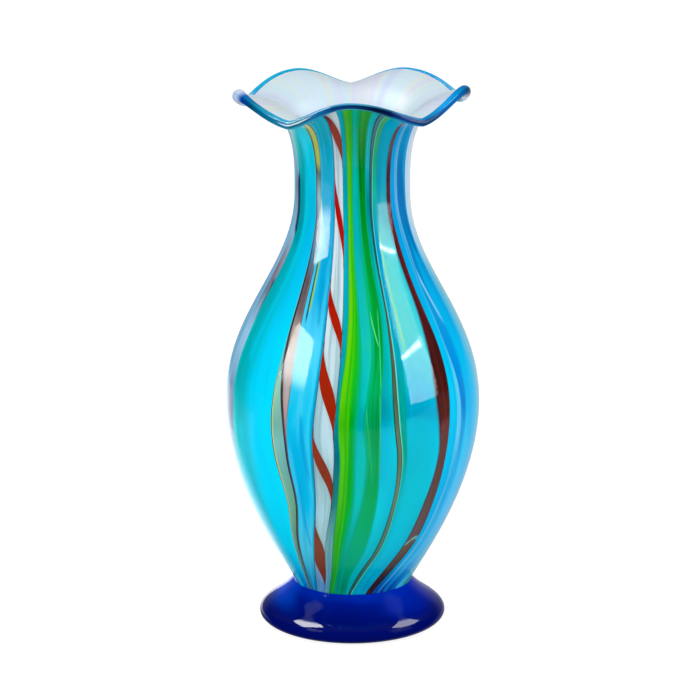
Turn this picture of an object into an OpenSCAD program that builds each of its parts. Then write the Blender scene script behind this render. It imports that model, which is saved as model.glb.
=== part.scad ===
// Hand blown art glass vase. A bundle of coloured canes is picked up on an opal bubble,
// cased in clear glass, blown, twisted at its base and flared into a ruffled lip.
// A blue trail is wound on the edge of the lip, and the body stands on a cobalt foot.
// Lengths are in millimetres, +Z is up, and the origin is the centre of the rest face.
// Angles round the vase run from the middle of its front, which faces -Y, towards +X.

/* [Foot] */
// Height of the foot, from the table to the seat of the body
foot_h = 26; // [18:1:34]
// Diameter of the foot at its widest
foot_d = 113; // [104:1:130]
// Diameter of the seat, where the body joins the foot
seat_d = 72; // [60:1:80]
// Height of the foot's widest part above the table
foot_edge_h = 5.5; // [4:0.5:8]
// Diameter of the flat ring that the foot rests on
rest_d = 94; // [80:1:98]
// Diameter of the ground pontil mark under the foot
pontil_d = 44; // [24:1:60]
// Depth of the pontil mark at its centre
pontil_depth = 2.5; // [1:0.5:5]

/* [Body] */
// Diameter of the belly at its widest
belly_d = 153; // [136:1:170]
// Height of the widest part of the belly above the seat
belly_rise = 112; // [100:1:124]
// Diameter of the neck at its narrowest
neck_d = 68.6; // [58:0.2:80]
// Height of the narrowest part of the neck above the seat
neck_rise = 240; // [228:1:252]

/* [Lip] */
// Diameter of the flared lip at the edge of its wall
lip_d = 130; // [116:1:142]
// Mean height of the underside of the lip above the seat
lip_rise = 295; // [284:1:308]
// Height of an even crest of the ruffle above the mean height of the lip
ruffle_rise = 6; // [2:0.5:8]
// Share by which the wall thins from the neck to the edge of the lip
lip_thinning = 0.4; // [0:0.05:0.5]
// Height that the blue trail stands above each face of the wall it is wound on
trail_lap = 0.9; // [0.4:0.1:2]

/* [Glass] */
// Thickness of the opal lining
lining_t = 1.4; // [1:0.1:2]
// Thickness of the coloured canes
cane_t = 1.2; // [0.8:0.1:1.6]
// Thickness of the clear casing
casing_t = 1.6; // [1:0.1:2.2]
// Thickness of the glass under the hollow of the body
floor_t = 7; // [4:0.5:12]
// Thickness of the red ribbons that wind round the white canes
ribbon_t = 0.3; // [0.2:0.05:0.4]
// Clearance between pieces of glass that are fused on the real vase
fuse_gap = 0.03; // [0.02:0.01:0.06]

/* [Swirl at the base] */
// Turn that all the canes have at the seat, in degrees
swirl_turn = 15; // [0:1:24]
// Turn that gathers the canes of both sides towards the left of the front
swirl_gather = 17; // [0:1:20]
// Height over which the swirl fades to about a third
swirl_fade = 18; // [12:1:26]

/* [Hidden] */
// Each cane's name, colour and width in degrees, from the left edge round the front,
// and "ribbon" on the canes that a red ribbon winds round
CANES = [
    ["azure_cane_1",    [0.16, 0.60, 0.90], 14],
    ["slate_cane_1",    [0.36, 0.36, 0.50], 5],
    ["teal_cane_1",     [0.00, 0.56, 0.66], 14],
    ["cyan_cane_1",     [0.00, 0.78, 0.94], 17],
    ["mint_cane_1",     [0.66, 0.90, 0.72], 5],
    ["charcoal_cane_1", [0.18, 0.17, 0.22], 4],
    ["copper_cane_1",   [0.66, 0.47, 0.38], 5],
    ["azure_cane_2",    [0.24, 0.66, 0.92], 7],
    ["white_cane_1",    [0.88, 0.90, 0.96], 10, "ribbon"],
    ["petrol_cane_1",   [0.00, 0.36, 0.44], 3],
    ["lime_cane_1",     [0.43, 0.86, 0.08], 5],
    ["green_cane_1",    [0.00, 0.62, 0.10], 3],
    ["teal_cane_2",     [0.00, 0.70, 0.72], 4],
    ["green_cane_2",    [0.00, 0.56, 0.26], 8],
    ["azure_cane_3",    [0.08, 0.56, 0.80], 4],
    ["olive_cane_1",    [0.36, 0.42, 0.34], 4],
    ["green_cane_3",    [0.10, 0.58, 0.44], 4],
    ["aqua_cane_1",     [0.08, 0.72, 0.82], 14],
    ["maroon_cane_1",   [0.34, 0.10, 0.12], 8],
    ["cyan_cane_2",     [0.06, 0.72, 0.94], 7],
    ["lilac_cane_1",    [0.62, 0.68, 0.94], 4],
    ["blue_cane_1",     [0.00, 0.34, 0.84], 4],
    ["azure_cane_4",    [0.14, 0.58, 0.92], 13],
    ["teal_cane_3",     [0.00, 0.58, 0.70], 14],
    ["green_cane_4",    [0.04, 0.56, 0.34], 9],
    ["aqua_cane_2",     [0.10, 0.70, 0.80], 15],
    ["copper_cane_2",   [0.64, 0.46, 0.38], 6],
    ["cyan_cane_3",     [0.02, 0.76, 0.92], 16],
    ["white_cane_2",    [0.88, 0.90, 0.96], 10, "ribbon"],
    ["blue_cane_2",     [0.02, 0.36, 0.82], 9],
    ["lime_cane_2",     [0.46, 0.84, 0.12], 6],
    ["teal_cane_4",     [0.00, 0.60, 0.68], 16],
    ["maroon_cane_2",   [0.34, 0.10, 0.12], 8],
    ["azure_cane_5",    [0.16, 0.60, 0.92], 16],
    ["mint_cane_2",     [0.64, 0.88, 0.72], 7],
    ["green_cane_5",    [0.02, 0.60, 0.28], 10],
    ["lilac_cane_2",    [0.60, 0.66, 0.94], 8],
    ["aqua_cane_3",     [0.06, 0.72, 0.84], 16],
    ["olive_cane_2",    [0.36, 0.42, 0.34], 6],
    ["cyan_cane_4",     [0.04, 0.74, 0.92], 14],
    ["blue_cane_3",     [0.02, 0.38, 0.84], 8],
];

// Each crest and dip of the ruffle: its angle round the lip and its height in even crests
RUFFLE = [[-33, -0.8], [-1, 1.4], [37, -0.6], [72, 1.35], [108, -0.6],
          [150, 1], [181, -0.75], [211, 0.9], [250, -1], [286, 0.7]];
// Power that makes the crests broad and the dips tight
ruffle_power = 0.7;

// Handles of the curves that shape the body, and the slope of its wall at the seat
seat_slope = 75;
seat_handle = 8;
belly_handle = 54;
neck_handle_low = 46;
neck_handle_high = 20;
lip_handle = 33;
// Handles of the curve over the foot, and its slope at the seat
foot_edge_handle = 6;
foot_seat_slope = 56;
foot_seat_handle = 14;

// Steps of the body's outline from seat to belly, belly to neck and neck to lip
low_steps = 8;
high_steps = 9;
flare_steps = 9;
// Steps of the flare, from the neck up, that stay round below the ruffles
round_steps = 4;
// First step whose wall bounds the hollow, above its rounded bottom
hollow_step = 3;
// Widest step round the vase, in degrees
widest_step = 8;
// Steps of the foot's curves and of the hollow's bottom, and sides of the trail's section
curve_steps = 12;
edge_steps = 5;
bottom_steps = 6;
trail_sides = 10;
// Depth that the ruffled part of a wall is let into its round part, and its margin there
let_in = 1.5;
let_in_margin = 0.03;
// Clearance between a ribbon and the flat-faced white cane under it
ribbon_gap = 0.1;
// Passes of a ribbon over the front of its cane, as the steps where each ends and starts
RIBBON_PASSES = [[20, 23], [14, 20], [11, 14], [8, 11], [5, 8], [1, 5]];
// Width of a ribbon, of its pointed ends and of the margin beside them, as shares of its cane
ribbon_share = 0.45;
ribbon_tip = 0.12;
ribbon_margin = 0.02;

// ------------------------------------------------------------ outline and layers

function total(list, n) = n == 0 ? 0 : list[n - 1] + total(list, n - 1);
function unit(v) = v / norm(v);
function spot(p, t) = pow(1 - t, 3) * p[0] + 3 * t * pow(1 - t, 2) * p[1]
                      + 3 * t * t * (1 - t) * p[2] + pow(t, 3) * p[3];
function course(p, t) = unit(pow(1 - t, 2) * (p[1] - p[0]) + 2 * t * (1 - t) * (p[2] - p[1])
                             + t * t * (p[3] - p[2]));

// The outer skin as curves of [radius, height], from the seat up to the edge of the lip
belly_z = foot_h + belly_rise;
neck_z = foot_h + neck_rise;
lip_z = foot_h + lip_rise;
low_curve = [[seat_d / 2, foot_h],
             [seat_d / 2, foot_h] + seat_handle * [cos(seat_slope), sin(seat_slope)],
             [belly_d / 2, belly_z - belly_handle],
             [belly_d / 2, belly_z]];
high_curve = [[belly_d / 2, belly_z],
              [belly_d / 2, belly_z + belly_handle],
              [neck_d / 2, neck_z - neck_handle_low],
              [neck_d / 2, neck_z]];
flare_curve = [[neck_d / 2, neck_z],
               [neck_d / 2, neck_z + neck_handle_high],
               [lip_d / 2 - lip_handle, lip_z],
               [lip_d / 2, lip_z]];
STEPS = concat([for (i = [0 : low_steps - 1]) [low_curve, i / low_steps]],
               [for (i = [0 : high_steps - 1]) [high_curve, i / high_steps]],
               [for (i = [0 : flare_steps]) [flare_curve, i / flare_steps]]);
SKIN = [for (s = STEPS) spot(s[0], s[1])];
last = len(SKIN) - 1;
round_last = low_steps + high_steps + round_steps;
// Direction into the glass at each step, level at the seat so that the layers end flush
INWARD = [for (i = [0 : last])
    i == 0 ? [-1, 0] : let (c = course(STEPS[i][0], STEPS[i][1])) [-c[1], c[0]]];

// Depths below the outer skin at which the layers start and end
cane_out = casing_t + fuse_gap;
cane_in = cane_out + cane_t;
lining_out = cane_in + fuse_gap;
lining_in = lining_out + lining_t;
ribbon_out = cane_out + fuse_gap;
ribbon_in = ribbon_out + ribbon_t;
white_out = ribbon_in + ribbon_gap;

// Share of the ruffle and of the thinning at a step: none in the round part, all at the lip
function share(i) = max(0, (SKIN[i][0] - SKIN[round_last][0]) / (SKIN[last][0] - SKIN[round_last][0]))
                    * (i > round_last ? 1 : 0);
function layer(i, depth) = SKIN[i] + depth * (1 - lip_thinning * share(i)) * INWARD[i];

// Height of the ruffle at an angle, blended from each crest to the dips beside it
function blend(p, q, t) = let (s = p[1] > q[1] ? t : 1 - t)
    min(p[1], q[1]) + abs(p[1] - q[1]) * pow((1 + cos(180 * s)) / 2, ruffle_power);
function ruffle(a, i = 0) =
    let (p = RUFFLE[i], q = i + 1 < len(RUFFLE) ? RUFFLE[i + 1] : RUFFLE[0] + [360, 0])
    a < RUFFLE[0][0] ? ruffle(a + 360)
    : a <= q[0] ? blend(p, q, (a - p[0]) / (q[0] - p[0])) : ruffle(a, i + 1);

// A point of the wall: an [radius, height] spot of a layer turned to an angle and ruffled
function turned(p, a) = [p[0] * sin(a), -p[0] * cos(a), p[1]];
function wall(i, a, p) = turned(p + [0, share(i) * ruffle_rise * ruffle(a)], a);

// ------------------------------------------------------------ canes and columns

turn_share = 360 / total([for (c = CANES) c[2]], len(CANES));
function cane_start(n) = -90 + turn_share * total([for (c = CANES) c[2]], n);
function ribboned(n) = CANES[n][3] == "ribbon";
// Angles from one cane's edge to the other, no further apart than the widest step
function cane_columns(n) =
    let (a = cane_start(n), b = cane_start(n + 1), k = ceil((b - a) / widest_step))
    [for (j = [0 : k]) a + (b - a) * j / k];
COLUMNS = [for (n = [0 : len(CANES) - 1]) let (c = cane_columns(n)) for (j = [0 : len(c) - 2]) c[j]];

// Angle of a line that runs along the canes, turned and gathered by the swirl near the seat
function swirl_fading(i) = exp((foot_h - SKIN[i][1]) / swirl_fade);
function swirled(a, i) = a - (swirl_turn + swirl_gather * sin(a)) * swirl_fading(i);
// Factor that lifts a cane's flat inner facets clear of the round lining
function step_turn(i) = i > round_last ? 0
    : max(widest_step, (swirl_turn + swirl_gather) * (swirl_fading(max(i - 1, 0)) - swirl_fading(i)),
          (swirl_turn + swirl_gather) * (swirl_fading(i) - swirl_fading(i + 1)));
function bedded(p, i) = [p[0] / cos(step_turn(i) / 2), p[1]];

// ------------------------------------------------------------ solids of wall

// Two triangles for a facet whose corners are given clockwise
function facet(a, b, c, d) = [[a, b, d], [b, c, d]];

// A piece of wall from GRID[column][row] = [outer point, inner point]; a closed one goes all round
module patch(GRID, closed = false) {
    rows = len(GRID[0]);
    spans = closed ? len(GRID) : len(GRID) - 1;
    function at(c, s, d) = ((c % len(GRID)) * rows + s) * 2 + d;
    function strip(c, s0, d0, s1, d1) =
        facet(at(c, s0, d0), at(c, s1, d1), at(c + 1, s1, d1), at(c + 1, s0, d0));
    skins = [for (c = [0 : spans - 1], s = [0 : rows - 2])
        each concat(facet(at(c, s, 0), at(c, s + 1, 0), at(c + 1, s + 1, 0), at(c + 1, s, 0)),
                    facet(at(c, s, 1), at(c + 1, s, 1), at(c + 1, s + 1, 1), at(c, s + 1, 1)))];
    ends = [for (c = [0 : spans - 1])
        each concat(facet(at(c, 0, 1), at(c, 0, 0), at(c + 1, 0, 0), at(c + 1, 0, 1)),
                    facet(at(c, rows - 1, 0), at(c, rows - 1, 1), at(c + 1, rows - 1, 1),
                          at(c + 1, rows - 1, 0)))];
    sides = closed ? [] : [for (s = [0 : rows - 2])
        each concat(facet(at(0, s, 0), at(0, s, 1), at(0, s + 1, 1), at(0, s + 1, 0)),
                    facet(at(spans, s, 0), at(spans, s + 1, 0), at(spans, s + 1, 1), at(spans, s, 1)))];
    polyhedron([for (column = GRID, pair = column) each pair], concat(skins, ends, sides));
}

// A layer that goes all round: turned up to the neck, and ruffled above it
module full_wall(depth_out, depth_in, first_in, bottom) {
    rotate_extrude($fn = 96)
        polygon(concat([for (i = [0 : round_last]) layer(i, depth_out)],
                       [for (i = [round_last : -1 : first_in]) layer(i, depth_in)], bottom));
    // The ruffled part starts a little inside the faces of the round part, and is let into it
    function root(depth) = let (p = layer(round_last, depth))
        [p + let_in * unit(layer(round_last - 1, depth) - p), p];
    root_out = [for (p = root(depth_out)) p - [let_in_margin, 0]];
    root_in = [for (p = root(depth_in)) bedded(p, round_last) + [let_in_margin, 0]];
    patch([for (a = COLUMNS) concat(
        [for (k = [0, 1]) [turned(root_out[k], a), turned(root_in[k], a)]],
        [for (i = [round_last + 1 : last])
            [wall(i, a, layer(i, depth_out)), wall(i, a, layer(i, depth_in))]])],
        closed = true);
}

// ------------------------------------------------------------ sub-parts

module foot() {
    seat = [seat_d / 2, foot_h - fuse_gap];
    edge_curve = [[foot_d / 2, foot_edge_h],
                  [foot_d / 2, foot_edge_h + foot_edge_handle],
                  seat + foot_seat_handle * [cos(foot_seat_slope), -sin(foot_seat_slope)],
                  seat];
    rest_edge = [(foot_d - rest_d) / 2, foot_edge_h];
    pontil_r = (pow(pontil_d / 2, 2) + pow(pontil_depth, 2)) / (2 * pontil_depth);
    color([0.02, 0.10, 0.52]) difference() {
        rotate_extrude($fn = 96)
            polygon(concat([[0, 0]],
                [for (j = [0 : edge_steps - 1]) let (a = 90 * j / edge_steps)
                    [rest_d / 2 + rest_edge[0] * sin(a), rest_edge[1] * (1 - cos(a))]],
                [for (j = [0 : curve_steps]) spot(edge_curve, j / curve_steps)],
                [[0, seat[1]]]));
        translate([0, 0, pontil_depth - pontil_r]) sphere(r = pontil_r, $fn = 144);
    }
}

module opal_lining() {
    rim = layer(hollow_step, lining_in);
    bottom_z = foot_h + floor_t;
    color([0.86, 0.89, 0.95])
        full_wall(lining_out, lining_in, hollow_step + 1, concat(
            [for (j = [0 : bottom_steps]) let (a = 90 * j / bottom_steps)
                [rim[0] * cos(a), rim[1] - (rim[1] - bottom_z) * sin(a)]],
            [[0, foot_h]]));
}

module clear_casing() {
    color([0.80, 0.93, 1.00, 0.35]) full_wall(0, casing_t, 0, []);
}

module cane(n) {
    columns = cane_columns(n);
    ends = len(columns) - 1;
    depth_out = ribboned(n) ? white_out : cane_out;
    // Half of the clearance to the cane beside it, as an angle at a radius
    function inset(j, r) = (j == 0 ? 1 : j == ends ? -1 : 0) * fuse_gap / 2 / r * 180 / PI;
    function corner(i, j, p) = wall(i, swirled(columns[j], i) + inset(j, p[0]), p);
    color(CANES[n][1])
        patch([for (j = [0 : ends]) [for (i = [0 : last])
            [corner(i, j, layer(i, depth_out)), corner(i, j, bedded(layer(i, cane_in), i))]]]);
}

// One pass of a ribbon over the front of cane n, from its left edge down to its right edge.
// Its columns and depths are taken in reverse, which splits its facets along the ribbon.
module ribbon_pass(n, low, high) {
    a = cane_start(n);
    width = cane_start(n + 1) - a;
    function across(i) = (high - i) / (high - low) * (1 + ribbon_share);
    function left(i) = min(1 - ribbon_tip, max(ribbon_margin, across(i) - ribbon_share));
    function right(i) = max(ribbon_tip, min(1 - ribbon_margin, across(i)));
    function corners(i, share) = let (b = swirled(a + width * share, i))
        [wall(i, b, layer(i, ribbon_in)), wall(i, b, layer(i, ribbon_out))];
    patch([[for (i = [low : high]) corners(i, right(i))], [for (i = [low : high]) corners(i, left(i))]]);
}

module red_ribbons() {
    color([0.74, 0.14, 0.08])
        for (n = [0 : len(CANES) - 1]) if (ribboned(n))
            for (pass = RIBBON_PASSES) ribbon_pass(n, pass[0], pass[1]);
}

// The trail's section is a circle with a flat, which lies on the edge of the wall
module lip_trail() {
    edge_t = norm(layer(last, lining_in) - layer(last, 0));
    trail_r = edge_t / 2 + trail_lap;
    flat = sqrt(pow(trail_r, 2) - pow(edge_t / 2, 2));
    middle = layer(last, lining_in / 2) + [flat + fuse_gap, 0];
    reach = 180 - acos(flat / trail_r);
    sides = trail_sides + 1;
    points = [for (a = COLUMNS, j = [0 : trail_sides]) let (t = reach * (2 * j / trail_sides - 1))
        wall(last, a, middle + trail_r * [cos(t), sin(t)])];
    function at(c, j) = (c % len(COLUMNS)) * sides + j % sides;
    color([0.02, 0.42, 0.72])
        polyhedron(points, [for (c = [0 : len(COLUMNS) - 1], j = [0 : trail_sides])
            each facet(at(c, j), at(c, j + 1), at(c + 1, j + 1), at(c + 1, j))]);
}

foot();
opal_lining();
for (n = [0 : len(CANES) - 1]) cane(n);
red_ribbons();
clear_casing();
lip_trail();
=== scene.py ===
"""Hand blown vase: coloured canes between an opal lining and a clear casing, on a cobalt foot."""
import math
from bisect import bisect_right

import bpy
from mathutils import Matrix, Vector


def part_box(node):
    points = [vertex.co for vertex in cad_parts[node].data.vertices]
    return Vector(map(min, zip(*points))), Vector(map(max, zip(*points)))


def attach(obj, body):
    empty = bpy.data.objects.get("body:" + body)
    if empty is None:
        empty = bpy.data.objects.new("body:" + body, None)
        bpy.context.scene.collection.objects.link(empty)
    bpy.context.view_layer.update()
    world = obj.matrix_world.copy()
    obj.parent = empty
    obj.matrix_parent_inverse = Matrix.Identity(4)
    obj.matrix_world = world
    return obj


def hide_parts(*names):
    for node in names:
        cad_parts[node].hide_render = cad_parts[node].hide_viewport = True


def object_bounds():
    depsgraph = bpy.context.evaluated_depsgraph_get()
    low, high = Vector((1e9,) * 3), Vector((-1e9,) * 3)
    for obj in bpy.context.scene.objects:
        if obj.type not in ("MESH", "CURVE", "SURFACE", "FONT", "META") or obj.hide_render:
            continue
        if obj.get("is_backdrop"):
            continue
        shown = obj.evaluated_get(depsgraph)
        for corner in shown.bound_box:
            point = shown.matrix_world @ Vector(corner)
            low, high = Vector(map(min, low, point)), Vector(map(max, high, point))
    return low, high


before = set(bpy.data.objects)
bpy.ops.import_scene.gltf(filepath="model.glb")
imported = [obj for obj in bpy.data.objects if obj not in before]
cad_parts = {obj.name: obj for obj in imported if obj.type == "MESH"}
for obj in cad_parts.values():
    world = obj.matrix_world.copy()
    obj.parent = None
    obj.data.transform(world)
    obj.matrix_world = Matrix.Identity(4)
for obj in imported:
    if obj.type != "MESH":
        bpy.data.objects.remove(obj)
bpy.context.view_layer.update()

MM = 0.001
TURN = 360                                 # steps of the spun walls, one for each degree
MERGE = 1e-6                               # points closer than this are one
NEAR_SEAT, NEAR_RIM = 0.0001, 0.0015       # a point this close to the seat, or the rim, belongs to it
FRONT_LEFT = -90                           # angle of the first cane's left edge, -Y being 0

# ---------- sizes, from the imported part

FOOT_R, FOOT_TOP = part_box("foot")[1].x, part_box("foot")[1].z
TRAIL_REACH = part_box("lip_trail")[1].x
SEAT_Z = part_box("opal_lining")[0].z
BELLY_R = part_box("clear_casing")[1].x
SEAT_R, NECK_R, LIP_R = 0.036, 0.0343, 0.065
BELLY_Z, NECK_Z, LIP_Z = SEAT_Z + 0.112, SEAT_Z + 0.240, SEAT_Z + 0.295
SEAT_MM, LIP_MM = SEAT_Z / MM, LIP_Z / MM
CASING_T, CANE_T, LINING_T, RIBBON_T = 0.0016, 0.0012, 0.0014, 0.0003
CANE_DEPTH, LINING_DEPTH, RIBBON_DEPTH = 0.00163, 0.00286, 0.00166
WHITE_SUNK = 0.00043                       # a white cane lies deeper, under its ribbon
FLOOR_Z = SEAT_Z + 0.007
HOLLOW_RIM_Z = SEAT_Z + 0.0246             # where the wall of the hollow meets its rounded bottom
FLARE_R, FLARE_Z = 0.03624, 0.2972         # the skin ruffles and thins above this ring
LIP_THINNING = 0.4
RUFFLE_RISE = 0.006
# Each crest and dip of the ruffle: its angle and its height in even crests
RUFFLE = [(-33, -0.8), (-1, 1.4), (37, -0.6), (72, 1.35), (108, -0.6),
          (150, 1), (181, -0.75), (211, 0.9), (250, -1), (286, 0.7)]
RUFFLE_POWER = 0.7
GLASS_IOR = 1.5

# ---------- bench

def pick(piece):
    bpy.ops.object.select_all(action="DESELECT")
    piece.select_set(True)
    bpy.context.view_layer.objects.active = piece
    return piece


def edit(piece):
    pick(piece)
    bpy.ops.object.mode_set(mode="EDIT")
    bpy.ops.mesh.select_all(action="SELECT")


def done():
    bpy.ops.object.mode_set(mode="OBJECT")


def added(add, **settings):
    """Adds an object with nothing else selected."""
    bpy.ops.object.select_all(action="DESELECT")
    add(**settings)
    return bpy.context.object


def modify(piece, kind, **settings):
    """Adds a modifier and applies it."""
    pick(piece)
    bpy.ops.object.modifier_add(type=kind)
    tool = piece.modifiers[-1]
    for name, value in settings.items():
        setattr(tool, name, value)
    bpy.ops.object.modifier_apply(modifier=tool.name)


def copy_of(piece, name):
    pick(piece)
    bpy.ops.object.duplicate()
    bpy.context.object.name = name
    return bpy.context.object


def outline(name, knots, steps):
    """A line of edges along a Bezier outline. A knot is a spot and the handles before and after it."""
    line = added(bpy.ops.curve.primitive_bezier_curve_add)
    line.name = name
    spline = line.data.splines[0]
    spline.bezier_points.add(len(knots) - 2)
    for point, knot in zip(spline.bezier_points, knots):
        point.handle_left_type = point.handle_right_type = "FREE"
        point.co, point.handle_left, point.handle_right = [(-r, 0, z) for r, z in knot]
    line.data.resolution_u = steps
    bpy.ops.object.convert(target="MESH")
    return bpy.context.object


def spun(line, steps=TURN):
    """Spins an outline round the vase's axis into a closed skin."""
    edit(line)
    bpy.ops.mesh.spin(steps=steps, angle=math.tau, center=(0, 0, 0), axis=(0, 0, 1))
    bpy.ops.mesh.select_all(action="SELECT")
    bpy.ops.mesh.remove_doubles(threshold=MERGE)
    bpy.ops.mesh.normals_make_consistent(inside=False)
    done()
    return line


def turn_out(skin):
    """Flips an open skin whose foremost face looks inward."""
    if min(skin.data.polygons, key=lambda face: face.center.y).normal.y > 0:
        edit(skin)
        bpy.ops.mesh.flip_normals()
        done()


def choose(piece, kind, test):
    """Enters edit mode with only those vertices or faces selected that pass a test."""
    edit(piece)
    bpy.ops.mesh.select_all(action="DESELECT")
    bpy.ops.mesh.select_mode(type=kind)
    done()
    for part in piece.data.vertices if kind == "VERT" else piece.data.polygons:
        part.select = test(part)
    bpy.ops.object.mode_set(mode="EDIT")


def smooth(piece, degrees=40):
    pick(piece)
    bpy.ops.object.shade_smooth_by_angle(angle=math.radians(degrees))


def finish_piece(piece, material, slot, node):
    piece.data.materials.clear()
    piece.data.materials.append(material)
    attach(piece, "root")
    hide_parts(node)


# ---------- form of the walls

def round_axis(angle, radius, z):
    """A spot at an angle round the vase, the front being 0."""
    a = math.radians(angle)
    return (radius * math.sin(a), -radius * math.cos(a), z)


def wrapped(angle, start):
    """The same angle, brought within the turn that begins at a start."""
    return (angle - start) % 360 + start


def degrees_of(co):
    """Angle of a point round the vase, from FRONT_LEFT up."""
    return wrapped(math.degrees(math.atan2(co.x, -co.y)), FRONT_LEFT)


def flare(radius, z):
    """Share of the ruffle and of the thinning at a spot of the skin: none low down, all at the lip."""
    return max((radius - FLARE_R) / (LIP_R - FLARE_R), 0) if z > FLARE_Z else 0


def ruffle(angle):
    """Height of the ruffle at an angle, in even crests: broad over a crest and tight in a dip."""
    angle = wrapped(angle, RUFFLE[0][0])
    spots = RUFFLE + [(RUFFLE[0][0] + 360, RUFFLE[0][1])]
    k = bisect_right([a for a, _ in spots], angle) - 1
    (a, p), (b, q) = spots[k], spots[min(k + 1, len(spots) - 1)]
    t = (angle - a) / (b - a) if b > a else 0
    s = t if p > q else 1 - t
    return min(p, q) + abs(p - q) * ((1 + math.cos(math.pi * s)) / 2) ** RUFFLE_POWER


def ruffled(skin):
    """Lifts and drops the lip of a skin, as far as its flare allows."""
    group = skin.vertex_groups["flare"].index
    for v in skin.data.vertices:
        share = next((g.weight for g in v.groups if g.group == group), 0)
        if share > 0:
            v.co.z += share * RUFFLE_RISE * ruffle(degrees_of(v.co))


def level_seat(piece, reach=0.0006):
    """Flattens the rim at the foot of a wall onto the seat."""
    lowest = min(v.co.z for v in piece.data.vertices)
    for v in piece.data.vertices:
        if v.co.z < lowest + reach:
            v.co.z = SEAT_Z


def sunk(skin, depth):
    """Moves a skin into the glass, less where the wall thins."""
    modify(skin, "DISPLACE", direction="NORMAL", mid_level=0, strength=-depth, vertex_group="wall")
    level_seat(skin, NEAR_SEAT)
    return skin


def thickened(skin, thickness):
    modify(skin, "SOLIDIFY", thickness=thickness, offset=-1, vertex_group="wall")
    level_seat(skin)
    return skin


# Each knot of the outline is a spot and the handles before and after it
SLOPE, SLOPE_HANDLE = math.radians(75), 0.008
BELLY_HANDLE, UNDER_NECK, OVER_NECK, LIP_HANDLE = 0.054, 0.046, 0.020, 0.033
SKIN_KNOTS = [
    ((SEAT_R, SEAT_Z), (SEAT_R, SEAT_Z),
     (SEAT_R + SLOPE_HANDLE * math.cos(SLOPE), SEAT_Z + SLOPE_HANDLE * math.sin(SLOPE))),
    ((BELLY_R, BELLY_Z), (BELLY_R, BELLY_Z - BELLY_HANDLE), (BELLY_R, BELLY_Z + BELLY_HANDLE)),
    ((NECK_R, NECK_Z), (NECK_R, NECK_Z - UNDER_NECK), (NECK_R, NECK_Z + OVER_NECK)),
    ((LIP_R, LIP_Z), (LIP_R - LIP_HANDLE, LIP_Z), (LIP_R, LIP_Z)),
]
skin = outline("skin", SKIN_KNOTS, 28)
PROFILE = sorted((v.co.z, -v.co.x) for v in skin.data.vertices)
spun(skin)
turn_out(skin)
flare_group = skin.vertex_groups.new(name="flare")
wall_group = skin.vertex_groups.new(name="wall")
for v in skin.data.vertices:
    share = flare(math.hypot(v.co.x, v.co.y), v.co.z)
    flare_group.add([v.index], share, "REPLACE")
    wall_group.add([v.index], 1 - LIP_THINNING * share, "REPLACE")


def wall_spot(z, depth):
    """Radius, height and flare of the skin at a height, sunk by a depth."""
    k = min(max(bisect_right([h for h, _ in PROFILE], z), 1), len(PROFILE) - 1)
    (z0, r0), (z1, r1) = PROFILE[k - 1], PROFILE[k]
    t = min(max((z - z0) / (z1 - z0), 0), 1)
    radius = r0 + (r1 - r0) * t
    length = math.hypot(r1 - r0, z1 - z0)
    share = flare(radius, z)
    depth *= 1 - LIP_THINNING * share
    return radius - depth * (z1 - z0) / length, z + depth * (r1 - r0) / length, share


# ---------- canes

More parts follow.
